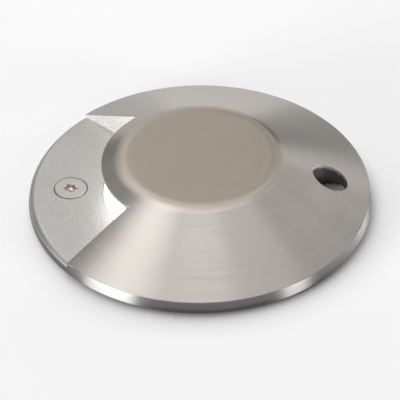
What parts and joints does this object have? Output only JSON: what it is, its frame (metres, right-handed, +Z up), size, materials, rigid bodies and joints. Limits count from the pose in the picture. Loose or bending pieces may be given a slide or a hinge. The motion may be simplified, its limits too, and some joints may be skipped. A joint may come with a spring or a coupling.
{
  "type": "in ground well light",
  "caption": "One-way in-ground well light: low conical steel cover with a side window, over a finned lamp housing in a ground sleeve with conduit hubs.",
  "frame": {"origin": "on the centre line at ground level, in the plane of the underside of the cover's rim", "axes": "+Z up along the centre line, -X through the middle of the cover's window"},
  "size_m": [0.1265, 0.116, 0.116],
  "materials": {
    "turned_steel": "fine turned stainless steel",
    "screw_steel": "plain stainless steel",
    "spring_steel": "blued spring steel",
    "frosted_glass": "frosted borosilicate",
    "silicone": "translucent grey silicone",
    "black_rubber": "black nitrile rubber",
    "mirror_aluminium": "bright anodised",
    "led_yellow": "phosphor",
    "board_white": "white solder mask on aluminium",
    "board_green": "glass fibre with green solder mask",
    "white_nylon": "moulded nylon",
    "thermal_grey": "filled silicone pad",
    "machined_aluminium": "machined",
    "housing_bronze": "black powder coat on cast aluminium",
    "brass": "machined brass",
    "lead_red": "insulated wire",
    "black_plastic": "moulded black nylon",
    "sleeve_plastic": "dark grey moulded rigid plastic",
    "terminal_green": "moulded green nylon",
    "zinc": "zinc plated steel"
  },
  "bodies": {
    "sleeve": {"sleeve": "sleeve_plastic", "sleeve_foot": "sleeve_plastic", "conduit_hubs": "sleeve_plastic", "rim_seal": "black_rubber", "conduit_plug": "sleeve_plastic"},
    "cover": {"cover": "turned_steel", "cover_gasket": "black_rubber"},
    "window_screw": {"window_screw": "screw_steel"},
    "back_screw": {"back_screw": "screw_steel"},
    "luminaire": {"upper_lens_gasket": "silicone", "lens": "frosted_glass", "lower_lens_gasket": "silicone", "reflector": "mirror_aluminium", "led_packages": "led_yellow", "led_board": "board_white", "board_screws": "zinc", "led_connector": "white_nylon", "thermal_pad": "thermal_grey", "heat_spreader": "machined_aluminium", "retaining_ring": "spring_steel", "led_leads": "lead_red", "threaded_inserts": "brass", "housing": "housing_bronze", "driver_standoffs": "brass", "driver_board": "board_green", "driver_screws": "zinc", "driver_transformer": "black_plastic", "driver_capacitors": "black_plastic", "terminal_block": "terminal_green", "gland_washer": "black_rubber", "gland_body": "brass", "gland_locknut": "brass", "gland_seal": "black_rubber", "gland_nut": "brass", "vent_plug": "black_plastic", "retaining_springs": "spring_steel", "spring_screws": "zinc"}
  },
  "joints": [
    {"name": "aim", "type": "hinge", "parent": "sleeve", "child": "luminaire", "pos_m": [0, 0, 0], "axis": [0, 0, 1], "range_deg": [-180, 180]},
    {"name": "cover_lift", "type": "slide", "parent": "luminaire", "child": "cover", "axis": [0, 0, 1], "range_m": [0, 0.04]},
    {"name": "window_screw_turn", "type": "hinge", "parent": "cover", "child": "window_screw", "pos_m": [-0.03785, 0, 0], "axis": [0, 0, 1], "continuous": true},
    {"name": "back_screw_turn", "type": "hinge", "parent": "cover", "child": "back_screw", "pos_m": [0.03785, 0, 0], "axis": [0, 0, 1], "continuous": true}
  ]
}
